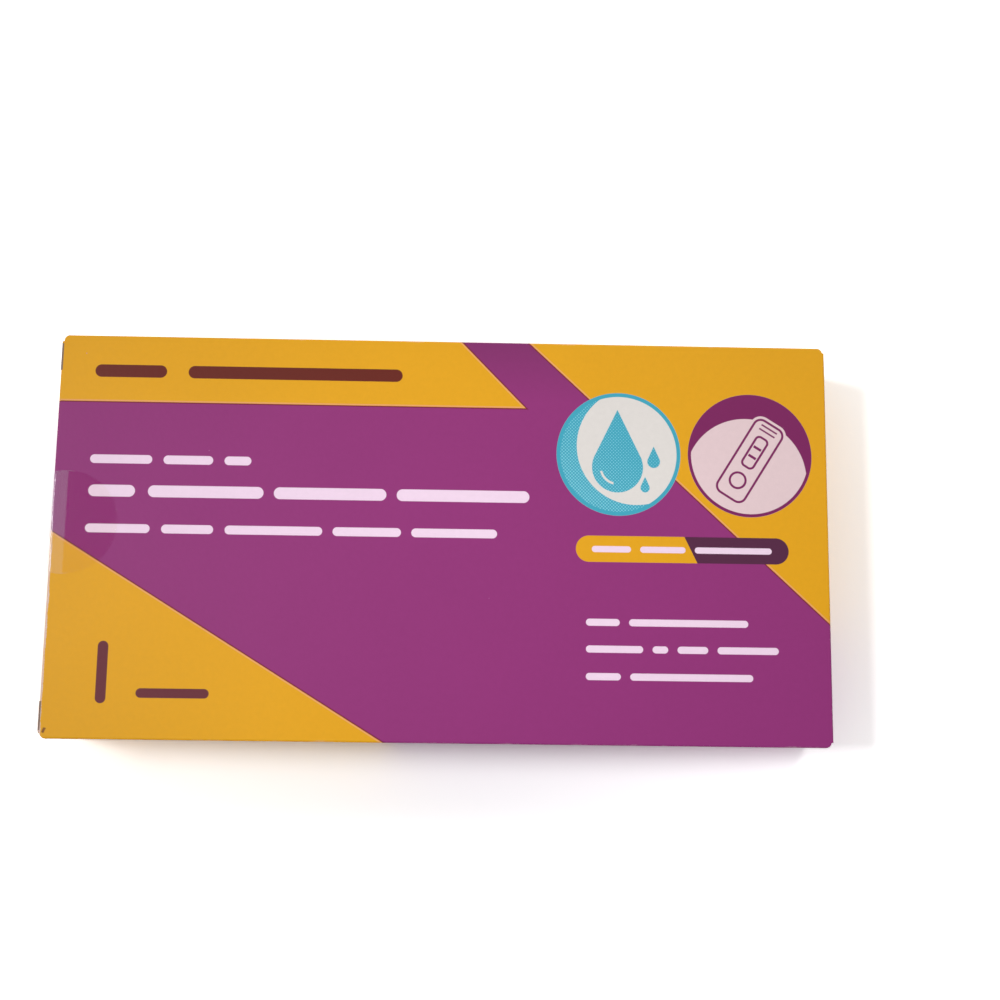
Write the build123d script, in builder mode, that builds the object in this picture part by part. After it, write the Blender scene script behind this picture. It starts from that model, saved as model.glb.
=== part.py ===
from build123d import *
import os
from math import pi, sqrt

# A test kit's folding carton, closed, lying on its back panel, and the clear wafer that seals it.
# X runs along the carton, Y across its front panel, and Z from the back panel to the front one.
# The origin is on the table under the middle of the back panel.

# Outside of the closed carton
carton_length = 150.0
carton_height = 78.0
carton_depth = 20.0

# Board, the outside of its creased folds, and the rounded corners seen from the front
board = 0.4
fold_radius = 0.4
corner_radius = 1.2

# A cut edge that lands beside a fold stops this far short of it
edge_clearance = 0.1

# Tuck ends: a cover panel between the side panels, slit at both ends of its tuck fold
cover_inset = 1.0
lock_length = 6.0
lock_corner = 0.8

# Gap that frees a side flap from the panel above it
relief_gap = 0.5
relief_depth = 0.6

# Clear wafer, its middle measured from the end cover and from mid height
film = 0.1
seal_diameter = 20.0
seal_inset = 2.8
seal_rise = 2.0

# Places that follow from these
edge_setback = fold_radius + edge_clearance
cover_face = -carton_length / 2
free_edge = cover_face + edge_setback
flap_span = carton_length - 2 * board
cover_width = carton_height - 2 * cover_inset
cover_height = carton_depth - board
seal_radius = seal_diameter / 2
seal_x = cover_face + seal_inset


# Cover panel of the left end, hinged on the back panel and tucked behind the front one
with BuildPart() as cover:
    with BuildSketch(Plane.YZ.offset(cover_face)) as cover_outline:
        with Locations((0, cover_height / 2)):
            Rectangle(cover_width, cover_height)
        fillet(cover_outline.vertices().group_by(Axis.Y)[-1], lock_corner)
    extrude(amount=edge_setback)
    hinge = cover.edges().filter_by(Axis.Y).group_by(Axis.X)[0].sort_by(Axis.Z)[0]
    fillet(hinge, fold_radius)
    # Between its two slits the tuck fold is creased, and beyond them its edge is cut square
    with BuildSketch(Plane.XZ):
        with Locations((cover_face, cover_height)):
            Rectangle(fold_radius, fold_radius, align=(Align.MIN, Align.MAX))
        with Locations((cover_face + fold_radius, cover_height - fold_radius)):
            Circle(fold_radius, mode=Mode.SUBTRACT)
    extrude(amount=cover_width / 2 - lock_length, both=True, mode=Mode.SUBTRACT)

# What the front panel's cut edge leaves open at the left end
with BuildPart() as edge_cut:
    with BuildSketch(Plane.XY.offset(cover_height)):
        with Locations((cover_face, 0)):
            Rectangle(edge_setback + corner_radius, carton_height, align=(Align.MIN, Align.CENTER))
        with Locations((free_edge, 0)):
            RectangleRounded(
                carton_length, carton_height, corner_radius,
                align=(Align.MIN, Align.CENTER), mode=Mode.SUBTRACT,
            )
    extrude(amount=board)
    # Under it, the side flaps start below the panel, beside the cover
    with BuildSketch(Plane.XY.offset(cover_height)):
        with Locations((cover_face, carton_height / 2), (cover_face, -carton_height / 2)):
            Rectangle(2 * (board + relief_depth), 2 * cover_inset)
    extrude(amount=-relief_gap)

# Carton: four panels around its length, glued at one corner and tucked shut at both ends
with BuildPart() as carton:
    with BuildSketch(Plane.YZ) as sleeve_section:
        with Locations((0, carton_depth / 2)):
            Rectangle(carton_height, carton_depth)
        # The last side panel's cut edge stands proud of the fold it is glued over
        with Locations((carton_height / 2, 0)):
            Rectangle(board, edge_setback, align=(Align.MAX, Align.MIN), mode=Mode.SUBTRACT)
        folds = sleeve_section.vertices().group_by(Axis.Y)
        fillet(folds[0] + folds[-1], fold_radius)
    extrude(amount=flap_span / 2, both=True)
    with BuildSketch(Plane.XY):
        RectangleRounded(flap_span, carton_height, corner_radius)
    extrude(amount=carton_depth, mode=Mode.INTERSECT)
    # The right end is the left one turned over
    with Locations(Location((0, 0, 0)), Location((0, 0, carton_depth), (0, 180, 0))):
        add(edge_cut.part, mode=Mode.SUBTRACT)
        add(cover.part)

# Clear wafer, flat on the front panel, rounded over its cut edge and flat on the end cover
half_fold = sqrt(seal_radius**2 - (seal_x - free_edge) ** 2)
fold_run = pi / 2 * (edge_setback + film / 2)
seal_drop = seal_radius - (seal_x - free_edge) - fold_run
fold_level = carton_depth - edge_setback
with BuildPart() as tamper_seal:
    with BuildSketch(Plane.XY.offset(carton_depth)):
        with Locations((seal_x, seal_rise)):
            Circle(seal_radius)
        with Locations((free_edge, seal_rise)):
            Rectangle(
                seal_diameter, seal_diameter,
                align=(Align.MAX, Align.CENTER), mode=Mode.SUBTRACT,
            )
    extrude(amount=film)
    with BuildSketch(Plane.YZ.offset(cover_face)):
        with BuildLine():
            ends = [(seal_rise - half_fold, fold_level), (seal_rise + half_fold, fold_level)]
            ThreePointArc(ends[0], (seal_rise, fold_level - seal_drop), ends[1])
            Line(ends[1], ends[0])
        make_face()
    extrude(amount=-film)
    with BuildSketch(Plane.XZ.offset(-seal_rise)):
        with Locations((free_edge, fold_level)):
            Circle(edge_setback + film)
            Circle(edge_setback, mode=Mode.SUBTRACT)
            Rectangle(
                2 * seal_radius, 2 * seal_radius,
                align=(Align.MAX, Align.MIN), mode=Mode.INTERSECT,
            )
    extrude(amount=half_fold, both=True)

os.makedirs("parts", exist_ok=True)
carton.part.label = "carton"
export_step(carton.part, "parts/carton.step")
tamper_seal.part.label = "tamper_seal"
export_step(tamper_seal.part, "parts/tamper_seal.step")
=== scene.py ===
"""Looks of a sealed folding carton for a small test kit.

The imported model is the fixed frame, in metres: X along the carton, Y up its front panel, Z from
the back panel to the front one. The carton's own solid stays, and its printed board is worked
out in the material. The clear seal's solid is replaced by a film with the same outline, which
lifts a little where it bridges the cut edge of the front panel.
"""

import logging
import math
from dataclasses import dataclass
from enum import Enum
from typing import Dict, List, Optional, Tuple, Union

import bpy
import numpy as np
from mathutils import Euler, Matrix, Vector


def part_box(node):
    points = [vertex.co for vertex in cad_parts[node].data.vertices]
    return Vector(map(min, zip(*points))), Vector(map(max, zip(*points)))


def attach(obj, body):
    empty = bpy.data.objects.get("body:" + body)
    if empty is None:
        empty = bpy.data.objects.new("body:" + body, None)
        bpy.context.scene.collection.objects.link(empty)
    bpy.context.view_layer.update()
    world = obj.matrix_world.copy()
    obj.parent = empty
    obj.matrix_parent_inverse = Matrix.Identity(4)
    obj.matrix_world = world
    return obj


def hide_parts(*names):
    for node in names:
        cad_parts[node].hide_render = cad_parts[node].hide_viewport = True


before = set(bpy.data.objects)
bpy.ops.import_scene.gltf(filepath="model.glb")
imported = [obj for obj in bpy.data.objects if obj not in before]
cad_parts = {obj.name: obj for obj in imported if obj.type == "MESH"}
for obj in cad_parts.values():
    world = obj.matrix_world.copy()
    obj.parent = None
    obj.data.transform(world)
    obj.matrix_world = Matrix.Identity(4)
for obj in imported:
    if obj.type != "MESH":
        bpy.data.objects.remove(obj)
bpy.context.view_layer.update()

MM = 0.001
LOG = logging.getLogger("carton")

Triple = Tuple[float, float, float]
Colour = Triple
Span = Tuple[float, float]


@dataclass(frozen=True)
class CartonForm:
    """The closed carton's form as its solid has it, in millimetres."""

    half_length: float = 75.0
    half_height: float = 39.0
    depth: float = 20.0
    board: float = 0.4
    edge_setback: float = 0.5
    cover_inset: float = 1.0
    lock_length: float = 6.0

    @property
    def free_edge(self) -> float:
        """From the middle to the cut edge of the front panel."""
        return self.half_length - self.edge_setback

    @property
    def middle(self) -> float:
        """Half way between the back panel and the front one."""
        return self.depth / 2

    @property
    def cover_half(self) -> float:
        """Half the width of an end cover."""
        return self.half_height - self.cover_inset


FORM = CartonForm()

# Half the width, in millimetres, over which one printed colour turns into the next
EDGE_BLUR = 0.05


def screen_tone(red: int, green: int, blue: int) -> Colour:
    """Turn a tone as a screen writes it, 0 to 255, into linear light.

    Args:
        red: red tone.
        green: green tone.
        blue: blue tone.

    Returns:
        The three linear values, from the usual power curve with its straight foot.
    """
    tones = np.array([red, green, blue]) / 255.0
    linear = np.where(tones <= 0.04045, tones / 12.92, ((tones + 0.055) / 1.055) ** 2.4)
    return tuple(float(value) for value in linear)


class Ink(Enum):
    """The colours that the carton is printed in, and those of its bare and worn board."""

    PURPLE = screen_tone(147, 48, 119)
    DEEP_PURPLE = screen_tone(130, 43, 104)
    AMBER = screen_tone(235, 169, 22)
    MAROON = screen_tone(99, 26, 10)
    OLD_ROSE = screen_tone(102, 38, 48)
    PALE_PINK = screen_tone(250, 222, 243)
    TRAP_RED = screen_tone(120, 22, 44)
    TRAP_PEACH = screen_tone(242, 168, 116)
    AUBERGINE = screen_tone(80, 30, 62)
    TEAL = screen_tone(66, 170, 194)
    TEAL_TINT = screen_tone(150, 222, 236)
    SHELL_WHITE = screen_tone(233, 227, 222)
    MAGENTA = screen_tone(123, 28, 91)
    BLUSH = screen_tone(236, 209, 212)
    CLAY_COAT = screen_tone(242, 222, 222)
    # the board's grey core, made darker as painted shade for cut edges that sit in gaps, such as the
    # lugs
    GREY_CORE_SHADED = screen_tone(150, 128, 116)
    # painted shade: the dark of a small notch at the front panel's lower left corner
    NOTCH_SHADE_BROWN = screen_tone(134, 80, 28)
    SPECK = screen_tone(206, 140, 186)


Signal = Union["Wire", float, int]


class Wire:
    """One output socket, with arithmetic that adds Math nodes behind it."""

    def __init__(self, tree: bpy.types.NodeTree, socket: bpy.types.NodeSocket) -> None:
        """Keep the socket and the tree that it belongs to."""
        self.tree = tree
        self.socket = socket

    def _maths(self, operation: str, *terms: Signal, clamp: bool = False) -> "Wire":
        """Add a Math node.

        Args:
            operation: the node's operation.
            terms: its inputs, in order.
            clamp: keeps the result between 0 and 1.

        Returns:
            The node's result.
        """
        node = self.tree.nodes.new("ShaderNodeMath")
        node.operation = operation
        node.use_clamp = clamp
        for place, term in enumerate(terms):
            if isinstance(term, Wire):
                self.tree.links.new(term.socket, node.inputs[place])
            else:
                node.inputs[place].default_value = float(term)
        return Wire(self.tree, node.outputs[0])

    def __add__(self, other: Signal) -> "Wire":
        """Sum."""
        return self._maths("ADD", self, other)

    def __radd__(self, other: Signal) -> "Wire":
        """Sum, with a number on the left."""
        return self._maths("ADD", other, self)

    def __sub__(self, other: Signal) -> "Wire":
        """Difference."""
        return self._maths("SUBTRACT", self, other)

    def __rsub__(self, other: Signal) -> "Wire":
        """Difference, with a number on the left."""
        return self._maths("SUBTRACT", other, self)

    def __mul__(self, other: Signal) -> "Wire":
        """Product."""
        return self._maths("MULTIPLY", self, other)

    def __rmul__(self, other: Signal) -> "Wire":
        """Product, with a number on the left."""
        return self._maths("MULTIPLY", other, self)

    def __neg__(self) -> "Wire":
        """The value with its sign turned."""
        return self._maths("MULTIPLY", self, -1.0)

    def __abs__(self) -> "Wire":
        """Size without sign."""
        return self._maths("ABSOLUTE", self)

    def root(self) -> "Wire":
        """Square root."""
        return self._maths("SQRT", self)

    def cosine(self) -> "Wire":
        """Cosine of an angle in radians."""
        return self._maths("COSINE", self)

    def least(self, other: Signal) -> "Wire":
        """The smaller of two values: of two distances, the one to both shapes joined."""
        return self._maths("MINIMUM", self, other)

    def most(self, other: Signal) -> "Wire":
        """The larger of two values: of two distances, the one to what both shapes share."""
        return self._maths("MAXIMUM", self, other)

    def held(self) -> "Wire":
        """The value kept between 0 and 1."""
        return self._maths("ADD", self, 0.0, clamp=True)

    def within(self, softness: float = EDGE_BLUR) -> "Wire":
        """A mask, 1 where the distance is negative, with softness half its blur's width."""
        return self._maths("SUBTRACT", 0.5, self * (0.5 / softness), clamp=True)

    def past(self, limit: float, softness: float) -> "Wire":
        """A mask, 1 where the value is above a limit, with the same kind of blur."""
        return (limit - self).within(softness)

    def stripe(self, middle: float, half: float, softness: float = EDGE_BLUR) -> "Wire":
        """A mask, 1 where the value is within half a width of a middle."""
        return (abs(self - middle) - half).within(softness)


@dataclass(frozen=True)
class Place:
    """A shaded point: as one vector in metres, and X, Y and Z in millimetres."""

    vector: Wire
    x: Wire
    y: Wire
    z: Wire


class Bench:
    """Builds one material's nodes."""

    def __init__(self, name: str) -> None:
        """Start a material with nothing but its output.

        Args:
            name: the material's name.
        """
        self.material = bpy.data.materials.new(name)
        self.material.use_nodes = True
        self.tree = self.material.node_tree
        self.tree.nodes.clear()
        self.output = self.tree.nodes.new("ShaderNodeOutputMaterial")

    def add(
        self,
        kind: str,
        settings: Optional[Dict[str, object]] = None,
        sockets: Optional[Dict[Union[str, int], object]] = None,
        result: Union[str, int] = 0,
    ) -> Wire:
        """Add one node of any kind.

        Args:
            kind: the node's type.
            settings: its properties, set before its sockets.
            sockets: values, inks or wires, by socket name or place.
            result: the output that is wanted.

        Returns:
            That output.
        """
        node = self.tree.nodes.new(kind)
        for name, value in (settings or {}).items():
            setattr(node, name, value)
        for name, value in (sockets or {}).items():
            if isinstance(value, Wire):
                self.tree.links.new(value.socket, node.inputs[name])
            elif isinstance(value, Ink):
                node.inputs[name].default_value = (*value.value, 1.0)
            else:
                node.inputs[name].default_value = value
        return Wire(self.tree, node.outputs[result])

    def parts(self, vector: Wire) -> Tuple[Wire, Wire, Wire]:
        """A vector's X, Y and Z."""
        axes = self.add("ShaderNodeSeparateXYZ", sockets={0: vector})
        return tuple(Wire(self.tree, part) for part in axes.socket.node.outputs)

    def place(self) -> Place:
        """Where the shaded point is, in object coordinates."""
        vector = self.add("ShaderNodeTexCoord", result="Object")
        return Place(vector, *(part * (1.0 / MM) for part in self.parts(vector)))

    def facing(self) -> Tuple[Wire, Wire, Wire]:
        """The surface's own direction, as its X, Y and Z parts."""
        return self.parts(self.add("ShaderNodeTexCoord", result="Normal"))

    def blend(self, share: Signal, under: object, over: object) -> Wire:
        """One colour over another, inks or wires: share is how much of the upper one shows."""
        return self.add(
            "ShaderNodeMix", {"data_type": "RGBA"}, {0: share, 6: under, 7: over}, result=2
        )

    def shade(self, colour: Wire, level: Signal) -> Wire:
        """Scale a colour by a value."""
        return self.add(
            "ShaderNodeVectorMath", {"operation": "SCALE"}, {0: colour, "Scale": level}
        )

    def noise(self, at: Place, size: float, detail: float = 2.0, rough: float = 0.5) -> Wire:
        """Clouds around 0.5: their size in millimetres, and finer layers' number and strength."""
        scale = 1.0 / (size * MM)
        return self.add(
            "ShaderNodeTexNoise",
            sockets={"Vector": at.vector, "Scale": scale, "Detail": detail, "Roughness": rough},
        )

    def bump(self, height: Wire, strength: float, depth: float) -> Wire:
        """Turn a height from 0 to 1 into a bent normal, with its full depth in millimetres."""
        return self.add(
            "ShaderNodeBump", sockets={"Strength": strength, "Distance": depth * MM, "Height": height}
        )

    def finish(self, surface: Wire) -> bpy.types.Material:
        """Join the last shader to the output, which finishes the material."""
        self.tree.links.new(surface.socket, self.output.inputs["Surface"])
        return self.material


def shown_rays(tree: bpy.types.NodeTree) -> Wire:
    """Tell the rays that the camera sees by, straight or by way of a mirror or a clear film.

    Args:
        tree: the material's or the world's nodes.

    Returns:
        A mask, 1 for those rays.
    """
    rays = tree.nodes.new("ShaderNodeLightPath").outputs
    shown = Wire(tree, rays["Is Camera Ray"]).most(Wire(tree, rays["Is Glossy Ray"]))
    return shown.most(Wire(tree, rays["Is Transmission Ray"]))


@dataclass(frozen=True)
class Spot:
    """A point of the print, in millimetres from a middle or a corner."""

    x: Wire
    y: Wire

    def seen_from(self, middle: Span) -> "Spot":
        """The same point, from another middle."""
        return Spot(self.x - middle[0], self.y - middle[1])

    def turned(self, degrees: float) -> "Spot":
        """The same point, from axes that are turned by an angle."""
        cos, sin = math.cos(math.radians(degrees)), math.sin(math.radians(degrees))
        return Spot(self.x * cos + self.y * sin, self.y * cos - self.x * sin)

    def disc(self, radius: float) -> Wire:
        """Distance to the edge of a circle around the middle, negative inside."""
        return (self.x * self.x + self.y * self.y).root() - radius

    def tablet(self, half: Span, radius: float) -> Wire:
        """Distance to the edge of a rounded rectangle around the middle.

        Args:
            half: half its width and half its length.
            radius: radius of its corners.

        Returns:
            The distance, negative inside.
        """
        out_x = abs(self.x) - (half[0] - radius)
        out_y = abs(self.y) - (half[1] - radius)
        outside = (out_x.most(0.0) * out_x.most(0.0) + out_y.most(0.0) * out_y.most(0.0)).root()
        return outside + out_x.most(out_y).least(0.0) - radius


@dataclass(frozen=True)
class WordRow:
    """A line of small print, kept as one plain bar for each word.

    Sizes are millimetres on the front panel, from its left and upper edges.
    """

    words: Tuple[Span, ...]
    middle: float
    thickness: float
    ink: Ink = Ink.PALE_PINK
    upright: bool = False

    def cover(self, spot: Spot) -> Wire:
        """Where the bars are.

        The bars share one line. The least distance to any word's straight run is found along
        it, and the distance to that run, less half the thickness, gives round ends.

        Args:
            spot: the point on the panel.

        Returns:
            A mask, 1 on the bars.
        """
        along, aside = (spot.y, spot.x) if self.upright else (spot.x, spot.y)
        radius = self.thickness / 2
        nearest: Optional[Wire] = None
        for start, end in self.words:
            beyond = abs(along - (start + end) / 2) - ((end - start) / 2 - radius)
            nearest = beyond if nearest is None else nearest.least(beyond)
        past = nearest.most(0.0)
        off = aside - self.middle
        return ((past * past + off * off).root() - radius).within()


@dataclass(frozen=True)
class Drop:
    """A flat drop: a circle, and its two tangents from a tip above it. Millimetres."""

    middle: Span
    radius: float
    tip: float

    def edge(self, spot: Spot) -> Wire:
        """Measure a point against the drop's edge.

        The circle's distance is joined with that of the wedge between both tangents. Each
        tangent leans so that it touches the circle, and the wedge is cut off where they touch.

        Args:
            spot: the point, from the roundel's middle.

        Returns:
            The measure, negative inside.
        """
        spot = spot.seen_from(self.middle)
        rise = self.radius / self.tip
        lean = math.sqrt(1.0 - rise * rise)
        shoulders = abs(spot.x) * lean + spot.y * rise - self.radius
        crown = shoulders.most(self.radius * rise - spot.y)
        return spot.disc(self.radius).least(crown)


@dataclass(frozen=True)
class Roundel:
    """A round field with a ring, in millimetres from the panel's left and upper edges."""

    middle: Span
    radius: float
    ring: float
    paper: Ink
    ink: Ink

    def motif(self, bench: Bench, field: Wire, spot: Spot, rim: Wire) -> Wire:
        """The field with a motif on it. A bare roundel has none."""
        return field

    def lay(self, bench: Bench, colour: Wire, spot: Spot) -> Wire:
        """Lay the roundel over the print.

        Args:
            bench: the material's nodes.
            colour: the print so far.
            spot: the point on the panel.

        Returns:
            The print with the roundel.
        """
        spot = Spot(spot.x - self.middle[0], self.middle[1] - spot.y)
        rim = spot.disc(self.radius)
        field = bench.blend(rim.within(), colour, self.paper)
        field = self.motif(bench, field, spot, rim)
        return bench.blend(rim.stripe(-self.ring / 2, self.ring / 2), field, self.ink)


@dataclass(frozen=True)
class DropRoundel(Roundel):
    """The cool roundel: a crescent, a drop with a glint, and two splashes."""

    dot_pitch: float = 0.46
    dot_turn: float = 45.0
    dot_fade: float = 0.05
    dot_blur: float = 0.5
    dot_share: float = 0.75
    hollow_place: Span = (3.4, 1.6)
    hollow_radius: float = 11.6
    big: Drop = Drop((-0.2, -2.6), 5.0, 11.4)
    splashes: Tuple[Drop, Drop] = (Drop((6.9, -1.4), 1.25, 3.0), Drop((5.2, -6.6), 0.9, 2.2))
    surround: float = 0.45
    glint_radius: float = 3.3
    glint_half: float = 0.22
    glint_ends: Span = (-1.0, -3.4)

    def dotted(self, bench: Bench, spot: Spot) -> Wire:
        """Teal with a screen of paler dots, which grow towards the lower left.

        Two cosines along turned axes are added, and a dot is where their sum is high.

        Args:
            bench: the material's nodes.
            spot: the point, from the roundel's middle.

        Returns:
            The colour.
        """
        pitch = 2.0 * math.pi / self.dot_pitch
        grid = spot.turned(self.dot_turn)
        dots = (grid.x * pitch).cosine() + (grid.y * pitch).cosine()
        screen = (1.0 + (spot.x + spot.y) * self.dot_fade - dots).within(self.dot_blur)
        return bench.blend(screen * self.dot_share, self.ink, Ink.TEAL_TINT)

    def motif(self, bench: Bench, field: Wire, spot: Spot, rim: Wire) -> Wire:
        """The crescent, the drop and the splashes, on the roundel's field.

        Args:
            bench: the material's nodes.
            field: the bare field.
            spot: the point, from the roundel's middle.
            rim: distance to its outer edge.

        Returns:
            The field with its motif.
        """
        teal = self.dotted(bench, spot)
        hollow = spot.seen_from(self.hollow_place).disc(self.hollow_radius)
        field = bench.blend(rim.most(-hollow).within(), field, teal)
        big = self.big.edge(spot)
        field = bench.blend((big - self.surround).within(), field, self.paper)
        drops = big
        for splash in self.splashes:
            drops = drops.least(splash.edge(spot))
        field = bench.blend(drops.within(), field, teal)
        glint = abs(spot.seen_from(self.big.middle).disc(self.glint_radius)) - self.glint_half
        ends = spot.seen_from(self.glint_ends)
        glint = glint.most(ends.x).most(ends.y)
        return bench.blend(glint.within(), field, self.paper)


@dataclass(frozen=True)
class DeviceRoundel(Roundel):
    """The warm roundel: a shaded arc, and the outline of a plain test device."""

    arc_place: Span = (-0.8, -4.6)
    arc_radius: float = 11.9
    device_up: float = -1.0
    device_turn: float = -32.0
    half_line: float = 0.22
    body_half: Span = (3.1, 8.4)
    body_corner: float = 1.5
    surround: float = 0.7
    window_up: float = 1.9
    window_half: Span = (1.25, 3.3)
    window_corner: float = 0.8
    stripe_up: float = 1.0
    stripe_half: Span = (0.85, 0.26)
    stripe_corner: float = 0.1
    well_up: float = -4.6
    well_radius: float = 1.55
    grip_up: float = 7.0
    grip_gap: float = 0.45
    grip_half: Span = (1.6, 0.16)

    def device_lines(self, spot: Spot, body: Wire) -> Wire:
        """Distance to the lines of the device: body, window with two stripes, well and grips.

        Args:
            spot: the point, from the device's middle, with the second axis along it.
            body: distance to its outline.

        Returns:
            The distance, negative on the lines.
        """
        glass = spot.seen_from((0.0, self.window_up))
        window = glass.tablet(self.window_half, self.window_corner)
        well = spot.seen_from((0.0, self.well_up)).disc(self.well_radius)
        lines = abs(body).least(abs(window)).least(abs(well)) - self.half_line
        grips = abs(abs(spot.y - self.grip_up) - self.grip_gap)
        grips = grips.most(abs(spot.x) - self.grip_half[0]) - self.grip_half[1]
        stripes = Spot(glass.x, abs(glass.y) - self.stripe_up)
        stripes = stripes.tablet(self.stripe_half, self.stripe_corner)
        return lines.least(grips).least(stripes)

    def motif(self, bench: Bench, field: Wire, spot: Spot, rim: Wire) -> Wire:
        """The shaded arc and the device's outline, on the roundel's field.

        Args:
            bench: the material's nodes.
            field: the bare field.
            spot: the point, from the roundel's middle.
            rim: distance to its outer edge.

        Returns:
            The field with its motif.
        """
        pale = spot.seen_from(self.arc_place).disc(self.arc_radius)
        field = bench.blend(rim.most(-pale).within(), field, self.ink)
        device = spot.seen_from((0.0, self.device_up)).turned(self.device_turn)
        body = device.tablet(self.body_half, self.body_corner)
        field = bench.blend((body - self.surround).within(), field, self.paper)
        lines = self.device_lines(device, body)
        return bench.blend(lines.within(), field, self.ink)


@dataclass(frozen=True)
class Pill:
    """The two-coloured pill and its row of words, in millimetres on the front panel."""

    middle: Span = (121.6, 40.65)
    half: Span = (20.7, 2.55)
    divide: float = 1.65
    divide_slope: float = 0.49
    row: WordRow = WordRow(((104.0, 111.6), (113.4, 122.2), (124.0, 139.0)), 40.7, 1.2)

    def lay(self, bench: Bench, colour: Wire, spot: Spot) -> Wire:
        """Lay the pill over the print.

        Args:
            bench: the material's nodes.
            colour: the print so far.
            spot: the point on the panel.

        Returns:
            The print with the pill.
        """
        here = spot.seen_from(self.middle)
        shape = here.tablet(self.half, self.half[1])
        right_end = (self.divide + here.y * self.divide_slope - here.x).within()
        fill = bench.blend(right_end, Ink.AMBER, Ink.AUBERGINE)
        field = bench.blend(shape.within(), colour, fill)
        return bench.blend(self.row.cover(spot), field, self.row.ink)


@dataclass(frozen=True)
class FrontPrint:
    """The print and its layout, in millimetres from the front panel's left and upper edges.

    stretch is how much of the panel one unit of the layout takes up along the carton. A line
    has its place off the amber's edge, half its width, and its blur.
    """

    left: float = -FORM.free_edge
    stretch: float = 0.99533
    top: float = FORM.half_height
    banner_end: float = 78.05
    banner_slope: float = 0.976
    banner_foot: float = 13.2
    corner_start: float = 91.46
    corner_slope: float = 0.9314
    wedge_start: float = 38.95
    wedge_slope: float = 0.605
    deep_reach: float = 6.0
    back_border: float = 0.35
    overlap_line: Triple = (0.1, 0.13, 0.06)
    halo_line: Triple = (-0.17, 0.12, 0.08)
    halo_share: float = 0.85
    # where the painted shade of the small notch at the lower left corner lies, and how ragged it is
    notch_shade_place: Span = (0.75, 76.4)
    notch_shade_turn: float = 25.0
    notch_shade_half: Span = (0.26, 0.5)
    notch_shade_corner: float = 0.15
    notch_shade_grain: float = 0.4
    notch_shade_fray: float = 0.3
    notch_shade_blur: float = 0.12
    rows: Tuple[WordRow, ...] = (
        WordRow(((6.4, 20.4), (24.6, 66.6)), 7.1, 2.5, Ink.MAROON),
        WordRow(((6.4, 18.4), (20.6, 30.2), (32.4, 37.6)), 24.6, 1.7),
        WordRow(((6.4, 15.4), (17.9, 40.2), (42.2, 64.0), (66.0, 91.8)), 30.8, 2.3),
        WordRow(((6.2, 18.6), (20.8, 30.8), (33.0, 51.8), (53.8, 67.0), (69.0, 85.6)), 38.1, 1.7),
        WordRow(((59.6, 71.3),), 11.0, 2.0, Ink.OLD_ROSE, upright=True),
        WordRow(((17.6, 31.4),), 69.3, 1.8, Ink.OLD_ROSE),
        WordRow(((102.9, 109.4), (111.2, 134.2)), 54.8, 1.35),
        WordRow(((102.9, 113.9), (115.7, 118.7), (120.5, 126.4), (128.2, 140.0)), 59.9, 1.35),
        WordRow(((102.9, 109.6), (111.4, 135.0)), 65.1, 1.35),
    )
    pill: Pill = Pill()
    cool: DropRoundel = DropRoundel((109.2, 22.0), 12.15, 0.75, Ink.SHELL_WHITE, Ink.TEAL)
    warm: DeviceRoundel = DeviceRoundel((135.0, 21.9), 12.17, 0.62, Ink.BLUSH, Ink.MAGENTA)

    def on_panel(self, at: Place) -> Spot:
        """The point on the panel, from its left and upper edges."""
        return Spot((at.x - self.left) * (1.0 / self.stretch), self.top - at.y)

    def amber_fields(self, spot: Spot) -> Wire:
        """Distance to the amber fields, negative inside.

        Each field is bounded by straight lines, and each line's value is divided by its
        slope's length, so that it counts in millimetres.

        Args:
            spot: the point on the panel.

        Returns:
            The distance.
        """
        slant = spot.x - self.banner_end - spot.y * self.banner_slope
        slant = slant * (1.0 / math.hypot(1.0, self.banner_slope))
        banner = slant.most(spot.y - self.banner_foot)
        corner = spot.y - (spot.x - self.corner_start) * self.corner_slope
        corner = corner * (1.0 / math.hypot(1.0, self.corner_slope))
        wedge = spot.x * self.wedge_slope + self.wedge_start - spot.y
        wedge = wedge * (1.0 / math.hypot(1.0, self.wedge_slope))
        return banner.least(corner).least(wedge)

    def fields(self, bench: Bench, spot: Spot, z: Wire) -> Wire:
        """The purple ground and the amber fields, on the front and the sides.

        The amber stops before the back panel. The inks overlap in a thin dark line outside
        the amber's edge, with a pale halo inside it. The purple is denser towards the top.

        Args:
            bench: the material's nodes.
            spot: the point on the panel.
            z: Z in millimetres.

        Returns:
            The printed colour.
        """
        off_back = z.past(self.back_border, 0.04)
        edge = self.amber_fields(spot)
        dense = (spot.y - self.deep_reach).within(self.deep_reach)
        purple = bench.blend(dense, Ink.PURPLE, Ink.DEEP_PURPLE)
        overlap = edge.stripe(*self.overlap_line) * off_back
        colour = bench.blend(overlap, purple, Ink.TRAP_RED)
        colour = bench.blend(edge.within() * off_back, colour, Ink.AMBER)
        halo = edge.stripe(*self.halo_line) * off_back
        return bench.blend(halo * self.halo_share, colour, Ink.TRAP_PEACH)

    def artwork(self, bench: Bench, at: Place) -> Wire:
        """All the ink on the board, with painted shade in the small notch at its lower left corner.

        Words, pill, roundels and the notch's painted shade lie on the front panel alone.

        Args:
            bench: the material's nodes.
            at: the shaded point.

        Returns:
            The printed colour.
        """
        spot = self.on_panel(at)
        front = at.z.past(FORM.middle, 0.5)
        ground = self.fields(bench, spot, at.z)
        colour = ground
        for row in self.rows:
            colour = bench.blend(row.cover(spot), colour, row.ink)
        for motif in (self.cool, self.warm, self.pill):
            colour = motif.lay(bench, colour, spot)
        colour = bench.blend(front, ground, colour)
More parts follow.
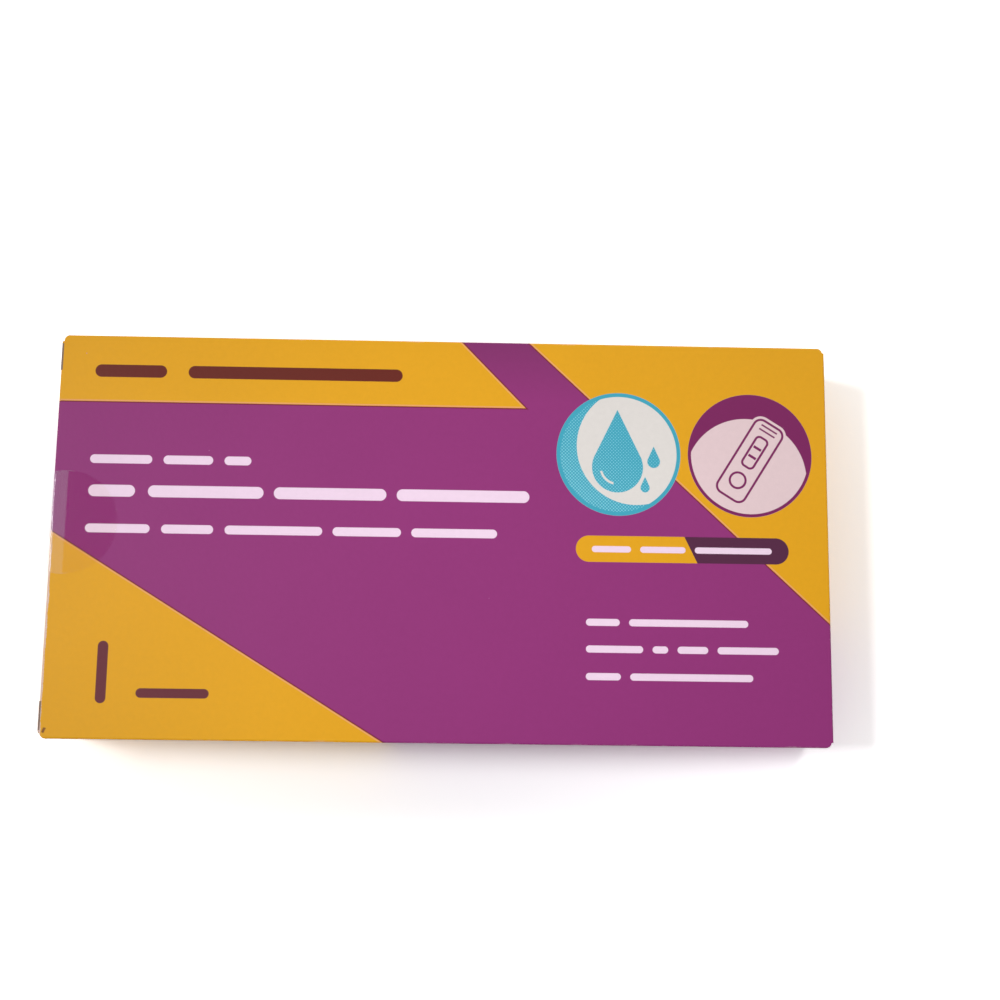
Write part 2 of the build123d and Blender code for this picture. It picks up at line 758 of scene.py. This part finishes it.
        # painted shade: a ragged dark brown patch that stands for the shade in the small notch at the
        # corner
        notch_shade = spot.seen_from(self.notch_shade_place).turned(self.notch_shade_turn)
        frayed = (bench.noise(at, self.notch_shade_grain) - 0.5) * self.notch_shade_fray
        notch_shade = notch_shade.tablet(self.notch_shade_half, self.notch_shade_corner) + frayed
        return bench.blend(notch_shade.within(self.notch_shade_blur) * front, colour, Ink.NOTCH_SHADE_BROWN)


@dataclass(frozen=True)
class SealMark:
    """Where the clear seal lies on the closed carton, in millimetres."""

    x: float = -72.2
    y: float = 2.0
    radius: float = 10.0
    fold_top: float = FORM.depth - FORM.edge_setback
    bridge_x: float = -72.15
    bridge_z: float = 18.1
    end_face: float = -74.45

    def unrolled(self, at: Place) -> Wire:
        """Distance to the seal's edge, measured over the fold.

        The way from the seal's middle goes left along the front panel and on down the end
        cover, so the drop below the fold is added to the way across.
        """
        way = (self.x - at.x) + (self.fold_top - at.z).most(0.0)
        return Spot(way, at.y - self.y).disc(self.radius)

    def loose(self, at: Place) -> Wire:
        """A mask, 1 where the film bridges the edge and touches nothing."""
        return (at.x - self.bridge_x).most(self.bridge_z - at.z).within(0.12)

    def bonded(self, at: Place) -> Wire:
        """A mask, 1 where the film is stuck down: on the front panel and the end cover alone."""
        outside = (at.x - self.end_face).least(self.fold_top - at.z).within(0.1)
        return self.unrolled(at).within(0.06) * (1.0 - self.loose(at)) * outside


@dataclass(frozen=True)
class Wear:
    """Where the ink is rubbed thin: along the folds, at the corners and on the cut edges.

    Sizes and reaches are millimetres.
    """

    patch_size: float = 7.0
    grain_size: float = 0.5
    patch_reach: float = 1.2
    grain_reach: float = 0.5
    fold_share: float = 0.3
    chip_from: float = 0.36
    chip_patch: float = 0.8
    chip_grain: float = 0.3
    chip_share: float = 0.8
    chip_depth: float = 0.45
    crease_depth: float = 0.75
    crease_least: float = 0.35
    worn_top: float = -2.0
    worn_fade: float = 6.0
    tip_reach: float = 0.75
    tip_grain: float = 1.4
    tip_share: float = 0.35

    def free_edge(self, at: Place, patchy: Wire, fine: Wire) -> Wire:
        """Chips on the front panel's cut edge, and the pale rubbed crease beyond it.

        Both are on the lower part of the left end alone. A chip is where the clouds reach
        further in than the point lies, and the crease is the top of the tuck fold.

        Args:
            at: the shaded point.
            patchy: large clouds.
            fine: small clouds.

        Returns:
            How much bare board shows, 0 to 1.
        """
        inward = at.x + FORM.free_edge
        chips = inward - (patchy - self.chip_from) * self.chip_patch - (fine - 0.5) * self.chip_grain
        chips = chips.within(0.06) * inward.past(-0.02, 0.01)
        chips = chips * at.z.past(FORM.depth - self.chip_depth, 0.03)
        crease = (inward + 0.03).within(0.02) * at.z.past(FORM.depth - self.crease_depth, 0.05)
        crease = crease * (patchy + self.crease_least)
        return chips.most(crease.held()) * (at.y - self.worn_top).within(self.worn_fade)

    def mask(self, bench: Bench, at: Place) -> Wire:
        """All the wear.

        A fold is where two outer faces are both near, so the larger of the two distances to
        them is small there, and at a tip all three are.

        Args:
            bench: the material's nodes.
            at: the shaded point.

        Returns:
            How much bare board shows, 0 to 1.
        """
        to_side = FORM.half_height - abs(at.y)
        to_end = FORM.half_length - abs(at.x)
        to_face = FORM.middle - abs(at.z - FORM.middle)
        long_fold = to_side.most(to_face)
        end_fold = to_end.most(to_face)
        corner_fold = (to_end - FORM.board).most(to_side)
        nearest = long_fold.least(end_fold).least(corner_fold)
        patchy = bench.noise(at, self.patch_size, 4.0, 0.65)
        fine = bench.noise(at, self.grain_size, 3.0, 0.6)
        reach = (patchy - 0.5) * self.patch_reach + (fine - 0.5) * self.grain_reach
        folds = (nearest - reach).within(0.15) * self.fold_share
        edge = self.free_edge(at, patchy, fine) * self.chip_share
        point = (to_end * to_end + to_side * to_side + to_face * to_face).root()
        tips = (point - self.tip_reach - (fine - 0.5) * self.tip_grain).within(0.3)
        return folds.most(edge).most(tips * self.tip_share)


@dataclass(frozen=True)
class CutEdges:
    """Where the board's cut thickness shows. Millimetres.

    These are the upright faces beside the front and back panels' cut ends, the cover panels'
    side edges, their square lugs and the glued side panel's lower edge. Each lies in its own
    plane and faces its own way, so both are asked. Their tone is the board's grey core, made
    darker as painted shade for the gaps they sit in, such as the lugs below the front panel.
    """

    near: float = 0.03
    crisp: float = 0.01
    facing_least: float = 0.7
    facing_blur: float = 0.1
    clear: float = 0.01
    lug_clear: float = 0.02

    def on(self, value: Wire, plane: float) -> Wire:
        """A mask, 1 where a value lies in a plane."""
        return value.stripe(plane, self.near, self.crisp)

    def square_to(self, part: Wire) -> Wire:
        """A mask, 1 where the surface faces along one axis, either way."""
        return abs(part).past(self.facing_least, self.facing_blur)

    def mask(self, bench: Bench, at: Place) -> Wire:
        """All the cut edges.

        Args:
            bench: the material's nodes.
            at: the shaded point.

        Returns:
            A mask, 1 on the cut edges.
        """
        face_x, face_y, face_z = bench.facing()
        off_x, off_y = abs(at.x), abs(at.y)
        level = abs(at.z - FORM.middle)
        inside = FORM.middle - FORM.board
        side_body = FORM.half_length - FORM.board
        lock = FORM.cover_half - FORM.lock_length
        panel_end = self.on(off_x, FORM.free_edge) * level.past(inside, 0.02)
        panel_end = panel_end * self.square_to(face_x)
        cover_side = self.on(off_y, FORM.cover_half)
        cover_side = cover_side * off_x.past(side_body + self.clear, self.crisp)
        cover_side = cover_side * self.square_to(face_y)
        lug = self.on(level, inside) * off_x.past(FORM.free_edge, self.crisp)
        lug = lug * off_y.past(lock + self.lug_clear, self.crisp) * self.square_to(face_z)
        seam = self.on(at.z, FORM.edge_setback) * at.y.past(FORM.half_height - FORM.board, 0.02)
        seam = seam * (face_z + self.facing_least).within(self.facing_blur)
        return panel_end.most(cover_side).most(lug).most(seam)


@dataclass(frozen=True)
class PrintedBoard:
    """Coated folding board, printed, with its wear, its bare cut edges and the seal's mark.

    Sizes are millimetres. Under the stuck-down seal, tint is the glue's yellowing of the print, and the
    even darkening after it is painted shade in place of the board's sheen, which the film takes away
    there.
    """

    layout: FrontPrint = FrontPrint()
    seal: SealMark = SealMark()
    wear: Wear = Wear()
    cut_edges: CutEdges = CutEdges()
    roughness: float = 0.45
    bare_roughness: float = 0.92
    gloss: float = 0.24
    tint: Colour = (1.0, 1.0, 0.95)
    # painted shade: an even darkening under the stuck-down seal, in place of the board's sheen there
    sheen_shade: Colour = (-0.03, -0.03, -0.03)
    darkest: Colour = (0.002, 0.002, 0.002)
    cloud_size: float = 22.0
    cloud_share: float = 0.07
    mottle_size: float = 1.1
    mottle_share: float = 0.09
    mottle_roughness: float = 0.12
    speck_cell: float = 5.0
    speck_from: float = 0.55
    speck_growth: float = 0.045
    speck_share: float = 0.7
    fibre_size: float = 0.25
    fibre_share: float = 0.32
    skin_size: float = 0.9
    swell_size: float = 38.0
    swell_share: float = 0.86
    skin_share: float = 0.05
    bare_fibre: float = 0.09
    printed_fibre: float = 0.004
    relief: float = 0.32

    def specks(self, bench: Bench, at: Place) -> Wire:
        """Pinholes and dust in the ink: one speck in some of the cells of a loose grid.

        Args:
            bench: the material's nodes.
            at: the shaded point.

        Returns:
            A mask, 1 on the specks.
        """
        cells = bench.add(
            "ShaderNodeTexVoronoi", {"feature": "F1"},
            {"Vector": at.vector, "Scale": 1.0 / (self.speck_cell * MM)}, result="Distance",
        )
        lot = Wire(bench.tree, cells.socket.node.outputs["Color"])
        chance = bench.add("ShaderNodeSeparateColor", sockets={0: lot})
        size = (chance - self.speck_from).most(0.0) * self.speck_growth
        return (cells - size).within(0.012)

    def under_seal(self, bench: Bench, colour: Wire) -> Wire:
        """The print where the seal is stuck down: yellowed by the glue, and darker by a painted shade
        in place of the board's sheen.
        """
        glued_and_shaded = bench.add(
            "ShaderNodeVectorMath", {"operation": "MULTIPLY_ADD"},
            {0: colour, 1: self.tint, 2: self.sheen_shade},
        )
        return bench.add("ShaderNodeVectorMath", {"operation": "MAXIMUM"}, {0: glued_and_shaded, 1: self.darkest})

    def build(self) -> bpy.types.Material:
        """Make the material.

        Returns:
            The printed board.
        """
        bench = Bench("printed_board")
        at = bench.place()
        colour = self.layout.artwork(bench, at)
        cloud = bench.noise(at, self.cloud_size, 4.0)
        mottle = bench.noise(at, self.mottle_size, 4.0, 0.65)
        level = 1.0 + (cloud - 0.5) * self.cloud_share + (mottle - 0.5) * self.mottle_share
        colour = bench.shade(colour, level)
        colour = bench.blend(self.specks(bench, at) * self.speck_share, colour, Ink.SPECK)
        bonded = self.seal.bonded(at)
        # painted shade: the print under the stuck-down seal is lowered evenly for the sheen the film
        # takes off, and its blue is dimmed by the glue's yellow
        colour = bench.blend(bonded, colour, self.under_seal(bench, colour))
        fibre = bench.noise(at, self.fibre_size, 3.0, 0.6)
        worn = self.wear.mask(bench, at)
        bare = self.cut_edges.mask(bench, at)
        exposed = worn.most(bare)
        # cut edges take the grey core darkened as painted shade, and rubbed places take the pale clay
        # coat
        board = bench.blend(bare, Ink.CLAY_COAT, Ink.GREY_CORE_SHADED)
        board = bench.shade(board, (1.0 - self.fibre_share / 2) + fibre * self.fibre_share)
        colour = bench.blend(exposed, colour, board)
        rough = self.roughness + (mottle - 0.5) * self.mottle_roughness
        rough = rough + exposed * (self.bare_roughness - self.roughness)
        skin = bench.noise(at, self.skin_size, 2.0)
        swell = bench.noise(at, self.swell_size, 1.0)
        height = swell * self.swell_share + skin * self.skin_share
        height = height + fibre * (bare * self.bare_fibre + self.printed_fibre)
        surface = bench.add(
            "ShaderNodeBsdfPrincipled",
            sockets={
                "Base Color": colour,
                "Roughness": rough,
                "Normal": bench.bump(height, 1.0, self.relief),
                "Specular IOR Level": self.gloss,
            },
        )
        return bench.finish(surface)


@dataclass(frozen=True)
class ClearFilm:
    """Clear glossy film that veils the print only where it isn't stuck down.

    What shows of the film itself is its mirror image of the room, so its own share is small
    and behaves as metal. It grows with the fifth power of the slant, as on any clear film, and
    both faces add theirs, so each has half of it. Sizes are millimetres.
    """

    mark: SealMark = SealMark()
    tone: Tuple[float, float, float, float] = (0.88, 0.9, 0.93, 1.0)
    loose_veil: float = 0.04
    loose_dulling: float = 0.7
    rim_veil: float = 0.1
    rim_width: float = 0.12
    rim_blur: float = 0.08
    rim_reach: float = 0.6
    rim_fade: float = 0.8
    roughness: float = 0.1
    straight_on: float = 0.006
    slanting: float = 0.2
    cloud_size: float = 1.6
    cloud_share: float = 0.5
    ripple_size: float = 2.4
    ripple_depth: float = 0.05

    def veil(self, bench: Bench, at: Place, loose: Wire) -> Wire:
        """How much of the print the film hides where it is loose, and along its rim there.

        Args:
            bench: the material's nodes.
            at: the shaded point.
            loose: a mask, 1 where the film touches nothing.

        Returns:
            The share hidden, 0 to 1.
        """
        inward = at.x - self.mark.bridge_x
        edge = self.mark.unrolled(at)
        cloudy = bench.noise(at, self.cloud_size, 4.0, 0.6)
        even = 1.0 - self.cloud_share / 2
        veil = loose * (even + cloudy * self.cloud_share) * self.loose_veil
        rim = (-edge - self.rim_width).within(self.rim_blur)
        rim = rim * (inward - self.rim_reach).within(self.rim_fade)
        return veil.most(rim * self.rim_veil)

    def build(self) -> bpy.types.Material:
        """Make the material.

        Returns:
            The film.
        """
        bench = Bench("clear_film")
        at = bench.place()
        loose = self.mark.loose(at)
        veil = self.veil(bench, at, loose)
        slant = bench.add("ShaderNodeLayerWeight", sockets={"Blend": 0.5}, result="Facing")
        square = slant * slant
        glare = square * square * slant * self.slanting + self.straight_on
        ripple = bench.noise(at, self.ripple_size, 2.0)
        skin = bench.add(
            "ShaderNodeBsdfPrincipled",
            sockets={
                "Base Color": self.tone,
                "Roughness": self.roughness,
                "Metallic": 1.0 - loose * self.loose_dulling,
                "Normal": bench.bump(ripple, 0.5, self.ripple_depth),
            },
        )
        clear = bench.add("ShaderNodeBsdfTransparent")
        share = (veil + glare).held()
        return bench.finish(bench.add("ShaderNodeMixShader", sockets={0: share, 1: clear, 2: skin}))


@dataclass
class Carton:
    """The closed carton, whose own solid is kept and finished."""

    node: str = "carton"
    finish: PrintedBoard = PrintedBoard()

    def dress(self) -> bpy.types.Object:
        """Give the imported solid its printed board.

        Returns:
            The carton's object.
        """
        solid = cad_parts[self.node]
        material = self.finish.build()
        for slot in solid.material_slots:
            slot.material = material
        low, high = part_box(self.node)
        LOG.info("%s dressed, %s mm", self.node, [round((b - a) / MM, 2) for a, b in zip(low, high)])
        return solid


@dataclass
class WaferSeal:
    """The clear round wafer over the left end's edge. Sizes are millimetres.

    ripples are the waves of the bridge's height along the edge: how high, how fast in radians
    per millimetre, and where each starts.
    """

    mark: SealMark = SealMark()
    thickness: float = 0.06
    glue: float = 0.025
    lift: float = 0.12
    ripples: Tuple[Triple, ...] = ((0.22, 0.9, 0.6), (0.12, 2.3, 0.0))
    rings: int = 48
    spokes: int = 192
    finish: ClearFilm = ClearFilm()

    @property
    def flat(self) -> float:
        """From the seal's middle to the front panel's cut edge."""
        return self.mark.x + FORM.free_edge

    def path(self, way: np.ndarray, off: np.ndarray) -> Tuple[np.ndarray, np.ndarray]:
        """Carry the film over the edge.

        The way runs left along the front panel, round a quarter circle over its cut edge and
        down the end cover. off is added square to that path, outwards.

        Args:
            way: distance from the seal's middle, positive towards the left end.
            off: distance off the board.

        Returns:
            X and Z of each point.
        """
        fold = FORM.edge_setback
        turn = np.clip((way - self.flat) / fold, 0.0, math.pi / 2)
        fallen = np.maximum(way - self.flat - fold * math.pi / 2, 0.0)
        x = self.mark.x - np.minimum(way, self.flat) - (fold + off) * np.sin(turn)
        z = self.mark.fold_top + (fold + off) * np.cos(turn) - fallen
        return x, z

    def stand_off(self, way: np.ndarray, across: np.ndarray) -> np.ndarray:
        """How far the film's underside stands off the board.

        Glue holds it at an even thickness. Between the two stuck ends it rises and falls
        again as a raised cosine, a little unevenly along the edge.

        Args:
            way: distance from the seal's middle, positive towards the left end.
            across: distance along the edge.

        Returns:
            The height of the film's underside.
        """
        start = self.mark.x - self.mark.bridge_x
        end = self.flat + FORM.edge_setback * math.pi / 2 + (self.mark.fold_top - self.mark.bridge_z)
        part = np.clip((way - start) / (end - start), 0.0, 1.0)
        waves = sum(height * np.sin(across * pace + shift) for height, pace, shift in self.ripples)
        bridge = self.lift * (1.0 + waves) * 0.5 * (1.0 - np.cos(2.0 * math.pi * part))
        return self.glue + bridge

    def build(self) -> bpy.types.Object:
        """Make the film: rings and spokes on both faces, joined at the rim and at both poles.

        Returns:
            The film's object, which stands for the seal's own solid.
        """
        share = np.linspace(0.0, 1.0, self.rings + 1)[1:]
        angle = np.linspace(0.0, 2.0 * math.pi, self.spokes, endpoint=False)
        reach, turn = np.meshgrid(share * self.mark.radius, angle, indexing="ij")
        way = np.concatenate([[0.0], (-reach * np.cos(turn)).ravel()])
        across = np.concatenate([[0.0], (reach * np.sin(turn)).ravel()])
        under = self.stand_off(way, across)
        faces_xyz = []
        for off in (under + self.thickness, under):
            x, z = self.path(way, off)
            faces_xyz.append(np.stack([x, self.mark.y + across, z], axis=1))
        points = np.concatenate(faces_xyz) * MM
        mesh = bpy.data.meshes.new("tamper_seal_film")
        mesh.from_pydata(points.tolist(), [], self.stitch(len(way)))
        mesh.validate()
        mesh.polygons.foreach_set("use_smooth", np.ones(len(mesh.polygons), dtype=bool))
        film = bpy.data.objects.new("seal_film", mesh)
        bpy.context.collection.objects.link(film)
        film.data.materials.append(self.finish.build())
        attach(film, "root")
        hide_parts("tamper_seal")
        LOG.info("%s built, %d faces", film.name, len(mesh.polygons))
        return film

    def stitch(self, count: int) -> List[Tuple[int, ...]]:
        """Faces between rings and spokes.

        Point 0 is the pole, and ring k's point j is 1 + k * spokes + j. The lower face has
        the same points again, count further on, wound the other way.

        Args:
            count: points on one face of the film.

        Returns:
            The faces, outwards all round.
        """
        ring, spoke = np.meshgrid(np.arange(self.rings - 1), np.arange(self.spokes), indexing="ij")
        beside = (spoke + 1) % self.spokes
        here, there = 1 + ring * self.spokes, 1 + (ring + 1) * self.spokes
        quads = np.stack([here + spoke, there + spoke, there + beside, here + beside], axis=-1)
        quads = quads.reshape(-1, 4)
        first = np.arange(self.spokes)
        after = (first + 1) % self.spokes
        fan = np.stack([np.zeros_like(first), 1 + first, 1 + after], axis=1)
        last = 1 + (self.rings - 1) * self.spokes
        rim = np.stack([last + first, last + first + count, last + after + count, last + after], axis=1)
        sheets = (fan[:, ::-1], quads[:, ::-1], fan + count, quads + count, rim[:, ::-1])
        return [tuple(face) for sheet in sheets for face in sheet.tolist()]


@dataclass(frozen=True)
class FloorPaper:
    """Pale backdrop paper, which the camera sees as white and the carton sees as pale.

    The lamps reach the carton more than the paper around it, so the tone that the camera sees
    grows with the square of the distance from the middle, up to a limit. growth is per square
    metre.
    """

    seen: float = 1.12
    growth: float = 105.0
    most_growth: float = 2.6
    lit: float = 0.65

    def build(self) -> bpy.types.Material:
        """Make the material.

        Returns:
            The backdrop's paper.
        """
        bench = Bench("floor_paper")
        at = bench.place()
        far = (at.x * at.x + at.y * at.y) * (self.growth * MM * MM)
        more = far.least(self.most_growth) + (self.seen - self.lit)
        level = shown_rays(bench.tree) * more + self.lit
        tone = bench.add("ShaderNodeCombineColor", sockets={0: level, 1: level, 2: level})
        return bench.finish(bench.add("ShaderNodeBsdfDiffuse", sockets={"Color": tone}))


@dataclass(frozen=True)
class Lamp:
    """One soft square lamp, in metres, watts and degrees."""

    name: str
    place: Triple
    size: float
    power: float
    colour: Colour
    spread: float
    aim: Triple = (0.017, -0.006, 0.02)

    def build(self) -> bpy.types.Object:
        """Make the lamp.

        Returns:
            The lamp's object.
        """
        data = bpy.data.lights.new(self.name, "AREA")
        data.shape = "SQUARE"
        data.size = self.size
        data.energy = self.power
        data.color = self.colour
        data.spread = math.radians(self.spread)
        lamp = bpy.data.objects.new(self.name, data)
        lamp.location = self.place
        way = Vector(self.aim) - Vector(self.place)
        lamp.rotation_euler = way.to_track_quat("-Z", "Y").to_euler()
        bpy.context.collection.objects.link(lamp)
        return lamp


@dataclass
class Studio:
    """Floor, soft light and the camera, set where the photograph was taken from.

    Lengths are metres, angles are degrees, and the sensor is in millimetres. focal_share is
    the focal length as a share of the sensor's width.
    """

    floor_half: float = 3.0
    camera_place: Triple = (0.00614, -0.03255, 0.27646)
    camera_turn: Triple = (8.872, -1.241, 0.727)
    focal_share: float = 1.341
    sensor: float = 36.0
    sky: float = 0.32
    lamps: Tuple[Lamp, ...] = (
        Lamp("window", (-0.345, 0.043, 0.48), 0.2, 0.0975, (0.98, 0.99, 1.0), 30.0),
        Lamp("room", (0.25, 0.449, 0.5), 0.25, 0.0673, (1.0, 0.99, 0.97), 38.6),
    )

    def floor(self) -> bpy.types.Object:
        """Lay the floor under the carton.

        Returns:
            The floor's object.
        """
        half = self.floor_half
        corners = [(-half, -half, 0.0), (half, -half, 0.0), (half, half, 0.0), (-half, half, 0.0)]
        mesh = bpy.data.meshes.new("floor")
        mesh.from_pydata(corners, [], [(0, 1, 2, 3)])
        floor = bpy.data.objects.new("floor", mesh)
        bpy.context.collection.objects.link(floor)
        floor.data.materials.append(FloorPaper().build())
        return floor

    def world(self) -> bpy.types.World:
        """Make the even light around, which cameras and mirrors see as white.

        Returns:
            The world.
        """
        world = bpy.data.worlds.new("soft_room")
        world.use_nodes = True
        tree = world.node_tree
        tree.nodes.clear()
        strength = shown_rays(tree) * (1.0 - self.sky) + self.sky
        back = tree.nodes.new("ShaderNodeBackground")
        back.inputs["Color"].default_value = (1.0, 1.0, 1.0, 1.0)
        tree.links.new(strength.socket, back.inputs["Strength"])
        output = tree.nodes.new("ShaderNodeOutputWorld")
        tree.links.new(back.outputs[0], output.inputs["Surface"])
        bpy.context.scene.world = world
        return world

    def camera(self) -> bpy.types.Object:
        """Set the camera where the photograph's perspective puts it.

        Returns:
            The camera's object.
        """
        data = bpy.data.cameras.new("camera")
        data.sensor_width = self.sensor
        data.lens = self.focal_share * self.sensor
        data.clip_start = 0.01
        data.clip_end = 20.0
        camera = bpy.data.objects.new("camera", data)
        camera.location = self.camera_place
        camera.rotation_euler = Euler([math.radians(a) for a in self.camera_turn], "XYZ")
        bpy.context.collection.objects.link(camera)
        bpy.context.scene.camera = camera
        return camera

    def build(self) -> None:
        """Set up everything that isn't the carton."""
        self.floor()
        self.world()
        for lamp in self.lamps:
            lamp.build()
        self.camera()
        bpy.context.scene.view_settings.view_transform = "Standard"
        LOG.info("studio set, %d lamps", len(self.lamps))


def main() -> None:
    """Build the scene, piece by piece."""
    logging.basicConfig(level=logging.INFO, format="%(name)s: %(message)s")
    Carton().dress()
    WaferSeal().build()
    Studio().build()


if __name__ == "__main__":
    main()
